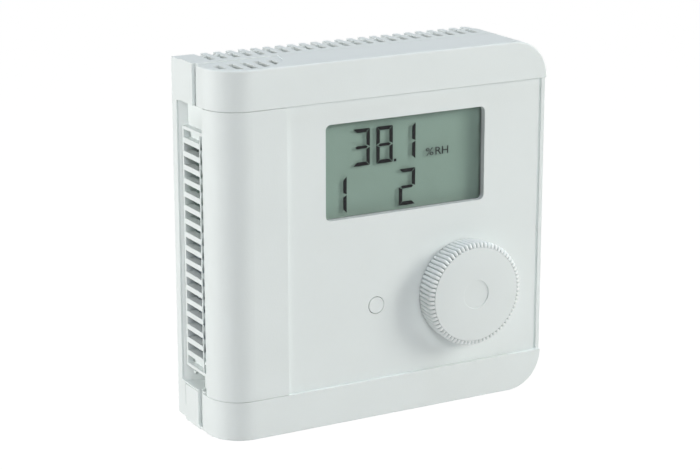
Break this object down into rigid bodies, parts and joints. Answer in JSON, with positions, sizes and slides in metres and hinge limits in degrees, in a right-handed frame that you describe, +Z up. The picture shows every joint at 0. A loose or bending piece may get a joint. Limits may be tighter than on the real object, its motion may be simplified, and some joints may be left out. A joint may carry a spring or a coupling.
{
  "type": "hygrostat",
  "caption": "Square wall-mounted room hygrostat with a rounded left pillar, side louvre, recessed display, a knurled setting knob and a small push button; the front pulls off the base for wiring.",
  "frame": {"origin": "centre of the back face, on the wall", "axes": "+Z up, +X to the right seen from the front, -Y out of the wall towards the user"},
  "size_m": [0.1, 0.0342, 0.1],
  "materials": {
    "housing": "fine matt white-grey",
    "fascia": "fine matt white-grey",
    "knob": "smooth satin white-grey",
    "button": "smooth satin white-grey",
    "holder": "matt grey",
    "display_glass": "clear, slightly satin",
    "reflector": "grey-green display background",
    "segments": "dark display segments",
    "contact_rubber": "matt",
    "circuit_board": "solder mask",
    "screw_steel": "zinc plated",
    "shaft_aluminium": "turned",
    "component_black": "moulded",
    "terminal_green": "moulded",
    "contact_brass": "plated",
    "relay_case": "moulded",
    "capacitor_sleeve": "shrink sleeve",
    "fuse_metal": "nickel caps",
    "varistor_coat": "dipped",
    "sensor_case": "moulded"
  },
  "bodies": {
    "base": {"wall_plate": "housing", "base_housing": "housing", "side_louvre": "housing", "plate_screws": "screw_steel", "power_board": "circuit_board", "power_board_screws": "screw_steel", "supply_terminals": "terminal_green", "output_terminals": "terminal_green", "terminal_screws": "screw_steel", "clamp_plates": "contact_brass", "relay_stage_1": "relay_case", "relay_stage_2": "relay_case", "board_socket": "component_black", "power_converter": "component_black", "smoothing_capacitors": "capacitor_sleeve", "mains_fuse": "fuse_metal", "varistor": "varistor_coat", "humidity_board": "circuit_board", "humidity_sensor": "sensor_case"},
    "front": {"front_cover": "housing", "front_fascia": "fascia", "lcd_holder": "holder", "lcd_front_glass": "display_glass", "lcd_rear_glass": "display_glass", "lcd_reflector": "reflector", "lcd_segments": "segments", "contact_strips": "contact_rubber", "control_board": "circuit_board", "control_board_screws": "screw_steel", "encoder_body": "component_black", "button_switch": "component_black", "header_pins": "contact_brass", "microcontroller": "component_black", "small_chips": "component_black"},
    "knob": {"control_knob": "knob", "encoder_shaft": "shaft_aluminium"},
    "button": {"push_button": "button", "switch_plunger": "component_black"}
  },
  "joints": [
    {"name": "front_pull_off", "type": "slide", "parent": "base", "child": "front", "axis": [0, -1, 0], "range_m": [0, 0.045]},
    {"name": "knob_turn", "type": "hinge", "parent": "front", "child": "knob", "pos_m": [0.0242, -0.0272, -0.0176], "axis": [0, 1, 0], "continuous": true},
    {"name": "button_press", "type": "slide", "parent": "front", "child": "button", "axis": [0, 1, 0], "range_m": [0, 0.0005], "stiffness_N_per_m": 2000}
  ]
}
